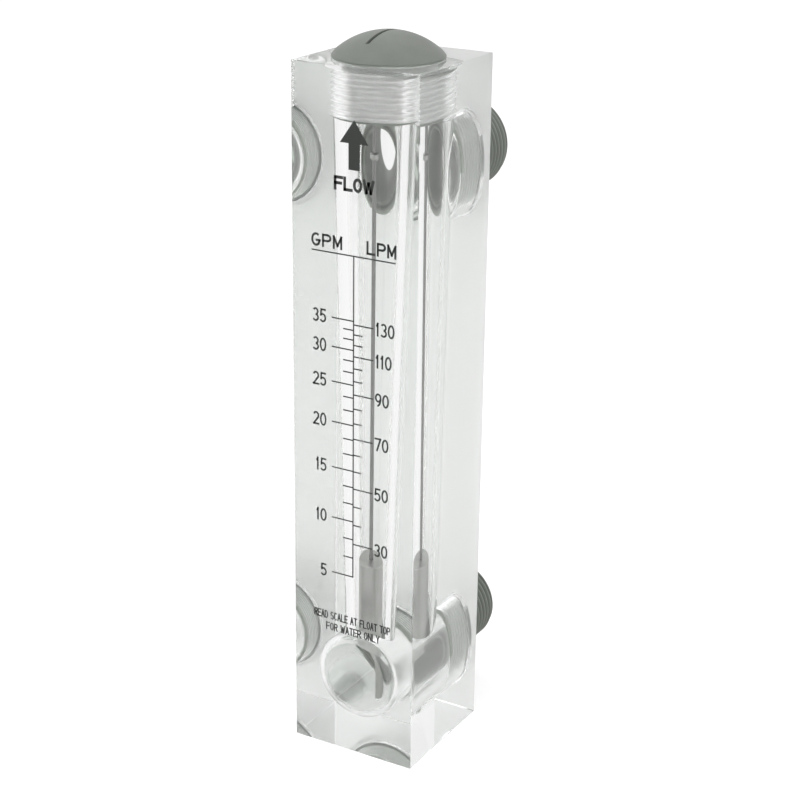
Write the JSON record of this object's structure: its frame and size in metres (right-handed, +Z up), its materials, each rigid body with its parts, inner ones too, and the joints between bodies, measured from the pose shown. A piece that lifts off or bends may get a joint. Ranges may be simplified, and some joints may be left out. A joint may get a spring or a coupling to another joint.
{
  "type": "rotameter",
  "caption": "Clear acrylic block flow meter: a float on a guide rod in a tapered bore, read on a printed front scale, with a slotted screw cap and two threaded rear ports.",
  "frame": {"origin": "centre of the block's bottom face", "axes": "+Z up along the block, the printed scale faces -Y, both ports leave along +Y"},
  "size_m": [0.05, 0.081, 0.2657],
  "materials": {
    "acrylic": "polished clear acrylic, faint grey-green in its thickness",
    "cap_plastic": "satin moulded mid grey",
    "nipple_plastic": "satin moulded dark grey",
    "seal_rubber": "smooth black rubber",
    "rod_steel": "drawn stainless rod",
    "stop_steel": "turned stainless",
    "float_steel": "fine turned stainless"
  },
  "bodies": {
    "block": {"body_block": "acrylic", "guide_rod": "rod_steel", "lower_float_stop": "stop_steel", "upper_float_stop": "stop_steel", "lower_port_nipple": "nipple_plastic", "upper_port_nipple": "nipple_plastic", "lower_port_o_ring": "seal_rubber", "upper_port_o_ring": "seal_rubber"},
    "cap_seal": {"cap_o_ring": "seal_rubber"},
    "cap": {"top_cap": "cap_plastic"},
    "float": {"float": "float_steel"}
  },
  "joints": [
    {"name": "float_rise", "type": "slide", "parent": "block", "child": "float", "axis": [0, 0, 1], "range_m": [0, 0.1494]},
    {"name": "cap_lift", "type": "slide", "parent": "block", "child": "cap_seal", "axis": [0, 0, 1], "range_m": [0, 0.018]},
    {"name": "cap_turn", "type": "hinge", "parent": "cap_seal", "child": "cap", "pos_m": [0, -0.003, 0.2565], "axis": [0, 0, 1], "range_deg": [0, 3599]}
  ],
  "couplings": [
    {"joint": "cap_lift", "follows": "cap_turn", "m_per_rad": 0.00028648}
  ]
}
